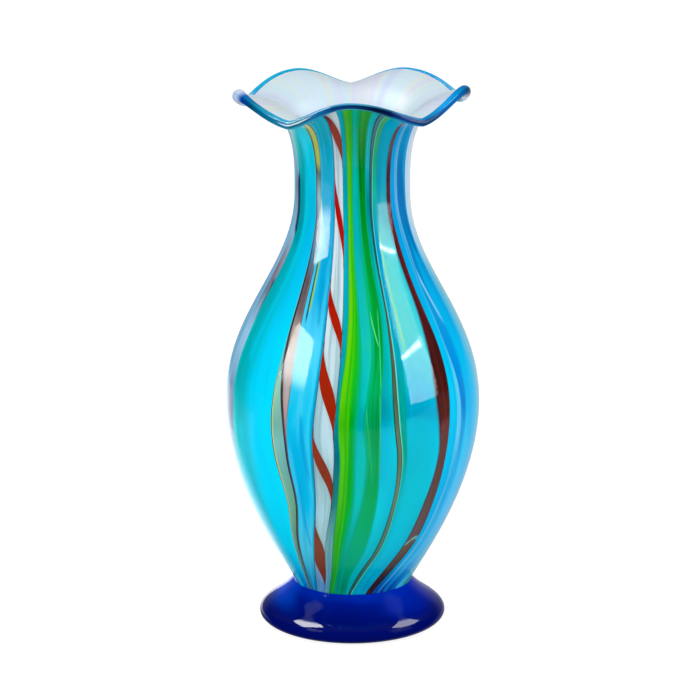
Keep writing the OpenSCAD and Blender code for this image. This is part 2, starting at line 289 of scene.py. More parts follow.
# Where the left edge of each front cane shows, in degrees from the front, at these heights in millimetres
EDGE_Z = [26, 40, 60, 90, 120, 140, 160, 185, 210, 240, 270, 320]
EDGES = {
    "azure_cane_1":    [-88, -89, -90, -90, -90, -90, -90, -90, -90, -90, -90, -90],
    "slate_cane_1":    [-75, -76, -77, -78, -78, -78, -79, -78, -79, -77, -76, -77],
    "teal_cane_1":     [-69, -70, -70, -70, -69, -68, -69.5, -69.5, -69, -65.5, -66, -68],
    "cyan_cane_1":     [-56, -57, -58, -58, -58, -57.5, -58, -57, -54, -51, -51, -58],
    "mint_cane_1":     [-46.5, -43, -39.5, -34.6, -37.6, -38.8, -38.4, -37.2, -37.6, -38.2, -38.4, -39.8],
    "charcoal_cane_1": [-44.6, -40.4, -36.4, -29.8, -31.2, -32.4, -34.6, -36.6, -37.2, -37.9, -38.0, -39.3],
    "copper_cane_1":   [-43.8, -39.6, -35.4, -28.9, -30.4, -31.4, -33.6, -35.8, -36.6, -37.3, -37.4, -38.6],
    "azure_cane_2":    [-43.2, -38.8, -34.6, -28.4, -29.8, -30.2, -29.4, -29.6, -31, -31.5, -32.5, -31],
    "white_cane_1":    [-36, -30.5, -24.5, -18.8, -18, -17.8, -16.5, -15.4, -15.8, -17, -18, -17.6],
    "petrol_cane_1":   [-27, -21, -17, -10.5, -8, -8, -6.8, -5.7, -5.6, -7.2, -9, -9.2],
    "lime_cane_1":     [-23.5, -17, -12.5, -8, -5.8, -6.5, -6, -3.6, -2.8, -3.8, -5, -6.6],
    "green_cane_1":    [-19.5, -13, -8.8, -4.5, -2.8, -2.6, -2, 0, 1, -0.2, -0.8, -1.5],
    "teal_cane_2":     [-16.5, -11, -5, 0.5, 1.5, 2, 3.6, 4.8, 4, 2, 0.8, 0.4],
    "green_cane_2":    [-13.5, -8, -2, 4.6, 7, 5.5, 7, 10.8, 10.7, 9, 6.5, 3.6],
    "azure_cane_3":    [-6.5, -1, 8, 12, 12.6, 12.6, 13.5, 16.2, 17.6, 15.6, 13.4, 12],
    "olive_cane_1":    [-4, 4, 14.6, 19.8, 20.4, 18.8, 18.4, 19.6, 20.4, 19, 17, 16],
    "green_cane_3":    [-1.5, 7.5, 17.8, 22, 22.9, 21.2, 20.6, 21.2, 21.6, 20.8, 19.4, 19.8],
    "aqua_cane_1":     [2, 11, 20.5, 24, 25.3, 24.4, 24.8, 25.2, 25, 24.4, 23.4, 24],
    "maroon_cane_1":   [13, 23, 34, 39.6, 43, 42, 41, 42.3, 43.2, 40.8, 35.8, 37.2],
    "cyan_cane_2":     [19.5, 31, 42.5, 46, 47.6, 48.6, 49.6, 49.6, 47.8, 46, 40.6, 40.4],
    "lilac_cane_1":    [24, 35, 46, 51, 53, 54.2, 54.5, 54, 53.6, 52, 46, 44.6],
    "blue_cane_1":     [27, 38, 50, 55, 56.4, 57.4, 57, 55, 55.2, 57, 50, 48.6],
    "azure_cane_4":    [31, 42, 54, 58, 60, 61.6, 62.5, 62.2, 60.4, 62, 59, 56],
    "teal_cane_3":     [46, 60, 70, 74, 75, 75, 74, 74, 74, 71, 65.5, 62],
}
DARK, INK = (40, 45, 30), (20, 20, 60)
# All canes, from the left edge over the front and on round the back. The width in the bundle is in
# degrees. A colour is a height in millimetres and red, green and blue. An edge (left, right) is a share
# of the width, a colour and a sharpness. A thread is an angle and a height at each end, a width in
# degrees, a colour and a strength.
# In the canes at the sides (teal_cane_1, cyan_cane_1, cyan_cane_2, lilac_cane_1, blue_cane_1, azure_cane_4)
# the two lowest, deep blue stops are a painted reflection of the cobalt foot
CANES = {
    "azure_cane_1": dict(width=14, streak=(170, 210, 235), colours=[(40, 60, 190, 235),
        (120, 80, 180, 220), (220, 90, 170, 215), (300, 110, 185, 220)]),
    "slate_cane_1": dict(width=5, streak=(160, 175, 200), strength=0.4, colours=[(40, 60, 200, 235),
        (100, 90, 195, 225), (122, 135, 180, 205), (138, 100, 125, 160), (160, 125, 175, 210),
        (185, 145, 205, 240), (208, 85, 120, 140), (225, 130, 120, 135), (245, 130, 185, 210),
        (272, 95, 125, 150), (292, 130, 185, 205), (310, 150, 205, 220)], threads=[
        (-68, 282, -67.6, 242, 7, (8, 32, 55), 0.9), (-71.5, 218, -69, 190, 4.5, (30, 62, 92), 0.85),
        (-78, 228, -71, 204, 4, (120, 105, 118), 0.7), (-76, 158, -70, 124, 3.5, (95, 112, 140), 0.7)]),
    # Its two lowest, deep blue stops are a painted reflection of the cobalt foot
    "teal_cane_1": dict(width=14, streak=(0, 140, 150), strength=0.45, colours=[(26, 0, 70, 170),
        (34, 0, 130, 200), (44, 0, 185, 215), (80, 0, 205, 230), (130, 0, 205, 215), (160, 0, 175, 180),
        (230, 0, 168, 182), (275, 0, 150, 165), (300, 20, 190, 185), (318, 60, 180, 160)],
        right=[(0.6, (0, 192, 222), 1.0)], threads=[(-67.4, 284, -67, 240, 6, (8, 36, 58), 0.9),
        (-57, 306, -60, 232, 9, (0, 120, 128), 0.45), (-60, 176, -61, 132, 7, (0, 150, 150), 0.4)]),
    # Its two lowest, deep blue stops are a painted reflection of the cobalt foot
    "cyan_cane_1": dict(width=17, streak=(0, 180, 225), strength=0.4, colours=[(26, 0, 75, 175),
        (33, 0, 135, 205), (42, 0, 178, 226), (55, 0, 208, 242), (90, 0, 215, 252), (150, 0, 212, 250),
        (185, 0, 206, 244), (215, 0, 188, 230), (245, 0, 172, 220), (268, 0, 166, 204), (290, 0, 192, 222),
        (305, 0, 208, 232), (318, 40, 185, 180)], left=[(0.42, (0, 186, 208), 1.0)]),
    "mint_cane_1": dict(width=5, streak=(100, 165, 170), strength=0.4, colours=[(35, 60, 110, 118),
        (60, 95, 138, 125), (85, 105, 165, 130), (112, 105, 165, 155), (128, 120, 188, 185),
        (140, 112, 172, 158), (162, 142, 200, 178), (182, 100, 175, 178)], left=[
        (0.24, (190, 205, 130), 0.5), (0.11, (70, 70, 35), 0.5)]),
    "charcoal_cane_1": dict(width=4, streak=(90, 80, 80), strength=0.3, colours=[(40, 70, 70, 60),
        (90, 60, 60, 60), (140, 60, 45, 60), (200, 40, 32, 45), (232, 30, 40, 55), (260, 60, 90, 120),
        (300, 60, 60, 30)]),
    "copper_cane_1": dict(width=5, streak=(170, 110, 90), strength=0.4, colours=[(60, 60, 110, 130),
        (128, 80, 80, 100), (138, 150, 110, 120), (160, 165, 158, 158), (192, 178, 164, 152),
        (205, 105, 92, 95), (222, 85, 75, 85), (236, 60, 125, 155), (268, 155, 185, 195),
        (283, 85, 105, 95), (290, 170, 180, 90), (312, 180, 190, 95), (320, 140, 165, 100)],
        left=[(0.14, (50, 40, 40), 0.6)], right=[(0.1, (45, 60, 45), 0.6)],
        threads=[(-32.4, 325, -31.6, 284, 2.2, (38, 52, 12), 0.95)]),
    "azure_cane_2": dict(width=7, streak=(80, 205, 240), strength=0.4, colours=[(26, 0, 90, 160),
        (36, 20, 140, 185), (60, 60, 180, 212), (90, 0, 180, 228), (125, 0, 178, 226), (142, 0, 188, 228),
        (162, 40, 195, 232), (185, 70, 200, 240), (212, 0, 162, 212), (240, 10, 160, 205),
        (270, 30, 165, 205), (300, 0, 160, 192), (318, 30, 160, 180)], right=[(0.12, (0, 150, 190), 0.7)],
        threads=[(-24, 150, -20.5, 105, 2.2, (0, 135, 205), 0.5),
        (-26, 108, -27, 58, 2.4, (0, 150, 215), 0.5), (-21.5, 224, -20, 196, 2, (0, 140, 190), 0.5),
        (-29.6, 236, -28.4, 197, 1.3, (25, 30, 20), 0.9),
        (-28.4, 238, -27.6, 203, 1.4, (150, 190, 50), 0.95),
        (-34.6, 272, -28.6, 234, 2.4, (235, 240, 205), 0.8)]),
    "white_cane_1": dict(width=10, streak=(110, 160, 172), strength=0.65, colours=[(32, 90, 150, 205),
        (50, 150, 165, 185), (64, 150, 185, 190), (85, 165, 208, 220), (112, 160, 190, 195),
        (130, 178, 210, 222), (165, 190, 212, 218), (200, 200, 216, 222), (260, 208, 218, 226),
        (310, 200, 212, 218)], left=[(0.05, (60, 90, 120), 0.5)], right=[(0.05, (60, 80, 100), 0.5)]),
    "petrol_cane_1": dict(width=3, streak=(0, 120, 140), strength=0.4, colours=[(35, 110, 170, 200),
        (60, 120, 175, 180), (90, 30, 130, 130), (120, 0, 110, 130), (170, 0, 150, 165),
        (220, 0, 160, 180), (300, 0, 160, 180)]),
    # Its darker stop at about 146 mm is part of a painted dark band of shade across the front canes
    "lime_cane_1": dict(width=5, streak=(40, 168, 20), strength=0.6, colours=[(38, 30, 155, 70),
        (60, 60, 168, 45), (95, 76, 178, 25), (132, 74, 182, 10), (146, 64, 168, 8), (160, 84, 184, 4),
        (185, 90, 188, 0), (230, 98, 184, 12), (265, 92, 178, 36), (305, 84, 168, 26), (318, 80, 160, 60)],
        left=[(0.32, (0, 150, 80), 1.0)], right=[(0.42, (20, 170, 10), 1.0)]),
    # Its darker stop at about 146 mm is part of a painted dark band of shade across the front canes
    "green_cane_1": dict(width=3, streak=(0, 150, 60), strength=0.5, colours=[(38, 0, 150, 90),
        (60, 0, 165, 80), (90, 0, 172, 40), (132, 4, 164, 14), (146, 0, 152, 4), (160, 14, 172, 10),
        (200, 26, 176, 8), (245, 50, 178, 30), (280, 40, 172, 70), (310, 30, 165, 80)],
        left=[(0.35, (70, 184, 8), 1.0)], right=[(0.5, (0, 168, 125), 1.0)]),
    # Its darker stops at about 144 to 151 mm are part of a painted dark band of shade across the front
    # canes
    "teal_cane_2": dict(width=4, streak=(0, 165, 200), strength=0.4, colours=[(38, 0, 150, 120),
        (60, 0, 170, 140), (95, 0, 182, 170), (136, 0, 170, 152), (144, 0, 138, 122), (151, 0, 144, 124),
        (160, 0, 176, 153), (190, 20, 185, 150), (215, 15, 178, 140), (245, 0, 158, 158),
        (285, 0, 165, 145), (312, 20, 165, 120)], right=[(0.3, (0, 160, 110), 0.95)]),
    # Its darker stops at about 141 to 150 mm are part of a painted dark band of shade across the front
    # canes
    "green_cane_2": dict(width=8, streak=(0, 175, 110), strength=0.4, colours=[(38, 0, 140, 110),
        (60, 0, 165, 120), (95, 0, 160, 85), (125, 0, 140, 70), (141, 0, 126, 62), (150, 0, 128, 58),
        (165, 0, 148, 68), (190, 0, 140, 42), (215, 0, 148, 45), (240, 0, 140, 40), (270, 0, 128, 24),
        (290, 0, 118, 15), (318, 50, 155, 60)], left=[(0.14, (0, 170, 130), 0.95)],
        right=[(0.16, (0, 165, 130), 0.95)], threads=[(9.3, 216, 14.2, 186, 0.8, (90, 220, 140), 0.7),
        (16.2, 210, 13.0, 160, 0.7, (60, 210, 130), 0.6),
        (12.8, 165, 12.4, 108, 0.7, (70, 195, 135), 0.45),
        (5.4, 168, 9.2, 108, 0.8, (50, 190, 120), 0.45)]),
    # Its darker stops at about 145 to 152 mm are part of a painted dark band of shade across the front
    # canes
    "azure_cane_3": dict(width=4, streak=(0, 200, 210), strength=0.4, colours=[(38, 0, 170, 180),
        (60, 0, 182, 195), (95, 0, 185, 212), (137, 0, 176, 210), (145, 0, 146, 170), (152, 0, 148, 166),
        (162, 0, 166, 172), (180, 0, 165, 155), (210, 0, 155, 128), (245, 0, 140, 135), (270, 0, 122, 130),
        (290, 20, 150, 165), (312, 30, 160, 165)]),
    "olive_cane_1": dict(width=4, streak=(60, 120, 120), strength=0.35, colours=[(35, 40, 80, 70),
        (60, 85, 115, 90), (95, 105, 125, 95), (135, 95, 115, 80), (160, 70, 90, 65), (190, 85, 80, 60),
        (215, 60, 75, 65), (240, 15, 60, 85), (275, 25, 75, 105), (312, 80, 120, 140)],
        left=[(0.26, (15, 35, 35), 0.6)], right=[(0.18, (20, 50, 50), 0.6)]),
    "green_cane_3": dict(width=4, streak=(0, 170, 140), strength=0.4, colours=[(38, 0, 165, 190),
        (60, 0, 180, 200), (95, 0, 178, 190), (125, 0, 160, 140), (160, 0, 150, 150), (190, 0, 150, 205),
        (240, 0, 145, 208), (268, 30, 175, 150), (290, 20, 165, 105), (318, 90, 165, 80)],
        left=[(0.22, (110, 220, 190), 0.9)]),
    # Its darker stops at about 144 to 152 mm are part of a painted dark band of shade across the front
    # canes
    "aqua_cane_1": dict(width=14, streak=(0, 175, 225), strength=0.35, colours=[(38, 0, 165, 200),
        (60, 0, 185, 208), (95, 0, 188, 205), (130, 0, 186, 210), (141, 0, 184, 208), (144, 0, 158, 192),
        (152, 0, 165, 198), (160, 0, 182, 208), (190, 60, 200, 205), (230, 55, 195, 195),
        (258, 40, 165, 175), (280, 0, 142, 165), (312, 0, 160, 190)], right=[(0.08, (60, 100, 120), 0.8)],
        threads=[(26.6, 255, 28.4, 178, 2.2, (165, 215, 120), 0.55),
        (31.5, 262, 33.5, 170, 1.6, (120, 220, 190), 0.4)]),
    "maroon_cane_1": dict(width=8, streak=(125, 25, 25), strength=0.3, colours=[(35, 45, 35, 40),
        (52, 90, 80, 70), (60, 110, 90, 75), (61.4, 110, 205, 215), (62.8, 100, 84, 84), (100, 92, 66, 62),
        (139, 98, 54, 52), (142.5, 70, 26, 20), (170, 62, 22, 18), (215, 74, 22, 22), (255, 74, 26, 30),
        (287, 62, 26, 38), (296, 96, 66, 78), (318, 120, 80, 85)], left=[(0.1, (45, 15, 25), 0.8)],
        right=[(0.08, (40, 20, 40), 0.8)]),
    # Its two lowest, deep blue stops are a painted reflection of the cobalt foot
    "cyan_cane_2": dict(width=7, streak=(0, 150, 225), strength=0.4, colours=[(26, 0, 70, 160),
        (34, 0, 120, 190), (44, 0, 160, 215), (60, 0, 175, 230), (95, 0, 178, 232), (140, 0, 195, 240),
        (180, 0, 195, 238), (215, 0, 165, 220), (255, 0, 145, 212), (310, 0, 160, 220)]),
    # Its two lowest, deep blue stops are a painted reflection of the cobalt foot
    "lilac_cane_1": dict(width=4, streak=(130, 190, 228), strength=0.4, colours=[(26, 0, 70, 165),
        (35, 20, 130, 195), (46, 50, 168, 212), (90, 20, 168, 222), (112, 50, 182, 228),
        (130, 90, 195, 238), (166, 70, 195, 235), (184, 0, 160, 222), (210, 0, 155, 210),
        (235, 50, 162, 215), (262, 90, 170, 215), (312, 75, 165, 205)]),
    # Its two lowest, deep blue stops are a painted reflection of the cobalt foot
    "blue_cane_1": dict(width=4, streak=(0, 120, 200), strength=0.35, colours=[(26, 0, 65, 160),
        (35, 10, 120, 195), (46, 40, 165, 222), (90, 50, 178, 235), (130, 40, 165, 225),
        (144, 15, 135, 212), (165, 0, 148, 228), (205, 10, 148, 212), (240, 0, 128, 195),
        (265, 0, 110, 182), (282, 0, 112, 178), (300, 0, 145, 198), (318, 0, 145, 200)],
        threads=[(51, 262, 62.8, 190, 2.6, (125, 205, 240), 0.85)]),
    # Its two lowest, deep blue stops are a painted reflection of the cobalt foot
    "azure_cane_4": dict(width=13, streak=(0, 155, 220), strength=0.35, colours=[(26, 0, 65, 160),
        (34, 20, 120, 195), (46, 60, 180, 230), (80, 70, 190, 242), (125, 50, 190, 240),
        (165, 0, 182, 238), (210, 0, 165, 225), (250, 0, 135, 200), (300, 20, 155, 212)], threads=[
        (51, 262, 62.8, 190, 2.6, (125, 205, 240), 0.85), (59, 285, 70, 228, 6, (0, 100, 158), 0.7),
        (61.4, 152, 61.0, 136, 1.6, (10, 90, 180), 0.7)]),
    "teal_cane_3": dict(width=14, streak=(60, 170, 215), colours=[(38, 60, 180, 215), (120, 70, 195, 232),
        (215, 80, 190, 225), (240, 170, 210, 232), (300, 205, 222, 235)]),
    "green_cane_4": dict(width=9, streak=(60, 200, 140), colours=[(40, 0, 150, 90), (150, 0, 160, 90),
        (300, 0, 150, 100)], right=[(0.15, (0, 120, 90), 0.9)]),
    "aqua_cane_2": dict(width=15, streak=(0, 170, 220), colours=[(40, 0, 175, 205), (150, 0, 195, 215),
        (240, 60, 195, 205), (300, 0, 165, 205)]),
    "copper_cane_2": dict(width=6, streak=(200, 140, 115), colours=[(40, 130, 95, 80),
        (150, 205, 165, 150), (230, 150, 105, 90), (300, 190, 190, 90)], left=[(0.15, (50, 40, 45), 0.7)],
        right=[(0.15, (50, 40, 45), 0.7)]),
    "cyan_cane_3": dict(width=16, streak=(0, 175, 225), colours=[(40, 0, 180, 228), (120, 0, 210, 248),
        (240, 0, 185, 228), (310, 20, 195, 215)]),
    "white_cane_2": dict(width=10, streak=(120, 180, 210), strength=0.55, colours=[(40, 185, 210, 228),
        (140, 180, 208, 225), (300, 212, 222, 232)]),
    "blue_cane_2": dict(width=9, streak=(40, 160, 235), colours=[(40, 0, 110, 205), (150, 0, 130, 225),
        (300, 0, 105, 200)], left=[(0.1, INK, 0.7)]),
    "lime_cane_2": dict(width=6, streak=(50, 185, 20), colours=[(40, 70, 190, 50), (150, 120, 215, 10),
        (300, 110, 190, 30)], right=[(0.3, (0, 180, 60), 0.9)]),
    "teal_cane_4": dict(width=16, streak=(0, 140, 160), colours=[(40, 0, 165, 185), (150, 0, 180, 190),
        (300, 0, 165, 175)]),
    "maroon_cane_2": dict(width=8, streak=(125, 30, 28), colours=[(40, 60, 45, 45), (120, 95, 50, 45),
        (200, 80, 20, 18), (300, 110, 45, 45)]),
    "azure_cane_5": dict(width=16, streak=(120, 200, 240), colours=[(40, 30, 160, 220),
        (150, 20, 165, 230), (300, 50, 160, 215)]),
    "mint_cane_2": dict(width=7, streak=(110, 175, 170), colours=[(40, 110, 175, 160),
        (150, 160, 225, 190), (300, 130, 200, 180)], left=[(0.14, (70, 75, 40), 0.7)]),
    "green_cane_5": dict(width=10, streak=(0, 175, 110), colours=[(40, 0, 155, 110), (150, 0, 145, 60),
        (250, 0, 150, 30), (300, 40, 155, 60)]),
    "lilac_cane_2": dict(width=8, streak=(180, 195, 240), colours=[(40, 70, 165, 225),
        (150, 150, 175, 235), (300, 130, 180, 235)]),
    "aqua_cane_3": dict(width=16, streak=(0, 180, 225), colours=[(40, 0, 175, 205), (150, 0, 198, 215),
        (300, 0, 170, 200)]),
    "olive_cane_2": dict(width=6, streak=(60, 120, 120), colours=[(40, 80, 105, 85), (150, 95, 115, 80),
        (300, 80, 115, 120)], left=[(0.14, DARK, 0.7)], right=[(0.14, DARK, 0.7)]),
    "cyan_cane_4": dict(width=14, streak=(0, 175, 225), colours=[(40, 0, 180, 228), (120, 0, 205, 245),
        (300, 0, 185, 225)]),
    "blue_cane_3": dict(width=8, streak=(50, 165, 235), colours=[(40, 0, 120, 210), (150, 0, 125, 220),
        (300, 0, 115, 205)]),
}
NAMES = list(CANES)
WIDTHS = [cane["width"] for cane in CANES.values()]
STARTS = [FRONT_LEFT + sum(WIDTHS[:n]) for n in range(len(WIDTHS) + 1)]
SWIRL_TURN, SWIRL_GATHER, SWIRL_FADE = 15, 17, 18        # degrees, degrees, millimetres


def eased(z, heights, values):
    """Value at a height on a smooth line through values, a cubic in each span."""
    k = min(max(bisect_right(heights, z) - 1, 0), len(heights) - 2)
    t = (z - heights[k]) / (heights[k + 1] - heights[k])

    def slope(i):
        a, b = max(i - 1, 0), min(i + 1, len(heights) - 1)
        return (values[b] - values[a]) / (heights[b] - heights[a]) * (heights[k + 1] - heights[k])
    return ((2 * t**3 - 3 * t**2 + 1) * values[k] + (t**3 - 2 * t**2 + t) * slope(k)
            + (3 * t**2 - 2 * t**3) * values[k + 1] + (t**3 - t**2) * slope(k + 1))


def swirled(angle, z_mm):
    return angle - ((SWIRL_TURN + SWIRL_GATHER * math.sin(math.radians(angle)))
                    * math.exp((SEAT_MM - z_mm) / SWIRL_FADE))


def under_casing(angle, z):
    """Where a line has to lie under the clear casing to show at an angle on the face of the vase."""
    bent = math.asin(math.sin(math.radians(angle)) / GLASS_IOR)
    return angle + math.degrees(math.tan(bent) * CANE_DEPTH / wall_spot(z, 0)[0])


EDGE_CACHE = {}


def edges_at(z):
    """Angles of the left edges of all canes at a height, and of the first again after a full turn."""
    z_mm = min(max(z / MM, EDGE_Z[0]), EDGE_Z[-1])
    key = round(z_mm, 3)
    if key not in EDGE_CACHE:
        row = []
        for n, start in enumerate(STARTS[:-1]):
            if NAMES[n] in EDGES:
                row.append(under_casing(eased(z_mm, EDGE_Z, EDGES[NAMES[n]]), z_mm * MM))
            else:
                # A cane at the back wanders on two slow waves of its own, and starts straight at the seat
                wave = 0.9 * math.sin(z_mm / 31 + 2.3 * n) + 0.5 * math.sin(z_mm / 17 + 4.1 * n)
                calm = min(1, (z_mm - SEAT_MM) / 60)
                calm *= min(1, (n - len(EDGES)) / 2, (len(NAMES) - n) / 2)
                row.append(swirled(start, z_mm) + wave * calm)
        row.append(row[0] + 360)
        EDGE_CACHE[key] = row
    return EDGE_CACHE[key]


def cane_at(angle):
    return min(bisect_right(STARTS, angle) - 1, len(NAMES) - 1)


def drawn(angle, z, n=None):
    """Where a line that starts at an angle of the bundle runs at a height, as the canes wander."""
    n = cane_at(angle) if n is None else n
    row = edges_at(z)
    share = (angle - STARTS[n]) / (STARTS[n + 1] - STARTS[n])
    return row[n] + (row[n + 1] - row[n]) * share


# ---------- materials

def shade(red, green, blue):
    """A colour given as it looks, from 0 to 255, for a shader socket."""
    parts = [c / 255 for c in (red, green, blue)]
    return tuple(c / 12.92 if c <= 0.04045 else ((c + 0.055) / 1.055) ** 2.4 for c in parts) + (1,)


class Amount:
    """A number that varies over a piece: a node's output that takes part in sums."""

    def __init__(self, glass, socket):
        self.glass, self.socket = glass, socket

    def __add__(self, other):
        return self.glass.maths("ADD", self, other)

    def __sub__(self, other):
        return self.glass.maths("SUBTRACT", self, other)

    def __rsub__(self, other):
        return self.glass.maths("SUBTRACT", other, self)

    def __mul__(self, other):
        return self.glass.maths("MULTIPLY", self, other)

    def __truediv__(self, other):
        return self.glass.maths("DIVIDE", self, other)

    def __abs__(self):
        return self.glass.maths("ABSOLUTE", self)

    def over(self, low, high):
        """0 up to low, 1 from high on, and a soft rise between."""
        return self.glass.amount("MapRange", {"Value": self, "From Min": low, "From Max": high},
                                 output="Result", interpolation_type="SMOOTHSTEP")

    __radd__, __rmul__ = __add__, __mul__


class Glass:
    """The nodes of one material, of a lamp or of the room round the vase."""

    def __init__(self, name, holder=None):
        self.material = holder or bpy.data.materials.new(name)
        self.material.use_nodes = True
        self.tree = self.material.node_tree
        self.tree.nodes.clear()

    def node(self, kind, sockets=None, **settings):
        node = self.tree.nodes.new("ShaderNode" + kind)
        for name, value in settings.items():
            setattr(node, name, value)
        for name, value in (sockets or {}).items():
            value = getattr(value, "socket", value)
            if isinstance(value, bpy.types.NodeSocket):
                self.tree.links.new(value, node.inputs[name])
            else:
                node.inputs[name].default_value = value
        return node

    def amount(self, kind, sockets=None, output=0, **settings):
        return Amount(self, self.node(kind, sockets, **settings).outputs[output])

    def maths(self, operation, *terms):
        return self.amount("Math", dict(enumerate(terms)), operation=operation)

    def angle(self, x, y):
        """Angle round the vase in radians, the front being 0."""
        return self.maths("ARCTAN2", x, y * -1)

    def mix(self, factor, first, second, blend="MIX"):
        """One colour over another. The second may be a red, green and blue."""
        second = shade(*second) if isinstance(second, tuple) else second
        return self.node("Mix", {0: factor, 6: first, 7: second},
                         data_type="RGBA", blend_type=blend).outputs[2]

    def ramp(self, place, stops):
        """A colour that runs through stops. A stop is a place from 0 to 1, and red, green and blue."""
        node = self.node("ValToRGB", {"Fac": place})
        points = node.color_ramp.elements
        while len(points) < len(stops):
            points.new(0.5)
        for point, (position, *colour) in zip(points, stops):
            point.position, point.color = position, shade(*colour)
        return node.outputs[0]

    def split(self, socket):
        node = self.node("SeparateXYZ", {0: socket})
        return [Amount(self, output) for output in node.outputs]

    def where(self, kind="Object"):
        """Where a spot lies on the piece, as three numbers."""
        return self.split(self.node("TexCoord").outputs[kind])

    def spot(self, x, y, z=0):
        return self.node("CombineXYZ", {0: x, 1: y, 2: z}).outputs[0]

    def noise(self, where, scale=1.0, detail=2.0, distortion=0.0):
        return self.amount("TexNoise", {"Vector": where, "Scale": scale, "Detail": detail,
                                        "Distortion": distortion})

    def body(self, colour, roughness, shine=0.0):
        """Glass that shows its colour. Its mirroring is a layer of its own."""
        return self.node("BsdfPrincipled", {
            "Base Color": colour, "Roughness": roughness, "Specular IOR Level": shine})

    def blend(self, factor, first, second):
        return self.node("MixShader", {0: factor, 1: first.outputs[0], 2: second.outputs[0]})

    def surface(self, shader):
        self.node("OutputMaterial", {"Surface": shader.outputs[0]})
        return self.material


def rise(z_mm):
    """Share of the wall's height at a height in millimetres."""
    return min(max((z_mm - SEAT_MM) / (LIP_MM - SEAT_MM), 0), 1)


def cane_glass(name, width, colours, streak, strength=0.35, left=(), right=(), threads=(), seed=0):
    """Opaque coloured cane: colours by height, streaks drawn out along it, edges and threads."""
    glass = Glass(name)
    across, along, _ = glass.where("UV")
    leaning = across + along * 0.7
    fine = glass.noise(glass.spot(leaning * (width * 0.36), along * 4.3, seed), detail=3.0, distortion=0.5)
    broad = glass.noise(glass.spot(leaning * (width * 0.15), along * 3.1, seed + 7.3), detail=1.0)
    shifted = along + (broad - 0.5) * 0.05
    colour = glass.ramp(shifted, [(rise(z), *colour) for z, *colour in colours])
    colour = glass.mix(fine.over(0.44, 0.68) * strength, colour, streak)
    colour = glass.mix(broad.over(0.40, 0.66) * 0.22, colour, (255, 255, 255), "SOFT_LIGHT")
    colour = glass.mix(fine.over(0.56, 0.30) * 0.16, colour, (0, 20, 60), "SOFT_LIGHT")
    wobble = (glass.noise(glass.spot(seed * 1.7, along * 9.0), detail=1.0) - 0.5) * 0.6
    for edge, side in ((left, across), (right, 1 - across)):
        for share, tint, sharpness in edge:
            reach = share * (1 + wobble)
            near = side.over(reach, reach * (1 - sharpness) - 0.001)
            colour = glass.mix(near, colour, tint)
    if threads:
        x, y, z = glass.where()
        angle = glass.angle(x, y) * (180 / math.pi)
        for a0, z0, a1, z1, thick, tint, strong in threads:
            along_thread = (z / MM - z0) / (z1 - z0)
            bow = along_thread * (1 - along_thread)
            off = abs(angle - (along_thread * (a1 - a0) + a0) + bow * 0.8)
            ends = along_thread.over(0, 0.15) * (1 - along_thread.over(0.85, 1))
            line = (1 - off.over(thick * 0.25, thick * 0.5 + 0.1)) * ends
            colour = glass.mix(line * strong, colour, tint)
    return glass.surface(glass.body(colour, 0.6))


def mirror_share(glass, normal, face_on, held_back=0.13):
    """How much a polished face mirrors: little face on and much at a flat angle."""
    flat_angle = glass.amount("Fresnel", {"IOR": GLASS_IOR, "Normal": normal}) - held_back
    return glass.maths("MAXIMUM", flat_angle, face_on)


def clear_glass():
    """Clear skin fused to what lies under it: it bends sight on its outside and lets light through."""
    glass = Glass("clear_glass")
    where = glass.node("TexCoord").outputs["Object"]
    waves = glass.noise(where, scale=26.0, detail=1.0)
    normal = glass.node("Bump", {"Height": waves, "Strength": 0.25, "Distance": 0.0006}).outputs[0]
    inside = Amount(glass, glass.node("NewGeometry").outputs["Backfacing"])
    rays = glass.node("LightPath").outputs
    light = glass.maths("MAXIMUM", rays["Is Shadow Ray"], rays["Is Diffuse Ray"])
    passes = glass.maths("MAXIMUM", light, inside)
    bends = glass.node("BsdfRefraction", {"IOR": GLASS_IOR, "Roughness": 0.0, "Normal": normal})
    through = glass.node("BsdfTransparent")
    gloss = glass.node("BsdfAnisotropic", {"Roughness": 0.05, "Normal": normal})
    mirrors = mirror_share(glass, normal, 0.012) * (1 - inside)
    return glass.surface(glass.blend(mirrors, glass.blend(passes, bends, through), gloss))


def opal_glass():
    """Milky white glass with faint tints of the canes behind it, drawn out from the neck to the lip."""
    glass = Glass("opal_glass")
    x, y, z = glass.where()
    angle = glass.angle(x, y)
    ring_x = glass.maths("SINE", angle)
    ring_y = glass.maths("COSINE", angle)
    bands = glass.noise(glass.spot(ring_x * 3.2, ring_y * 3.2, z * 9), distortion=0.3)
    colour = glass.ramp(bands, [(0.30, 186, 204, 228), (0.42, 202, 212, 228), (0.50, 196, 218, 228),
                                (0.58, 206, 218, 214), (0.66, 204, 208, 228), (0.76, 212, 212, 222)])
    return glass.surface(glass.body(colour, 0.4, shine=0.1))


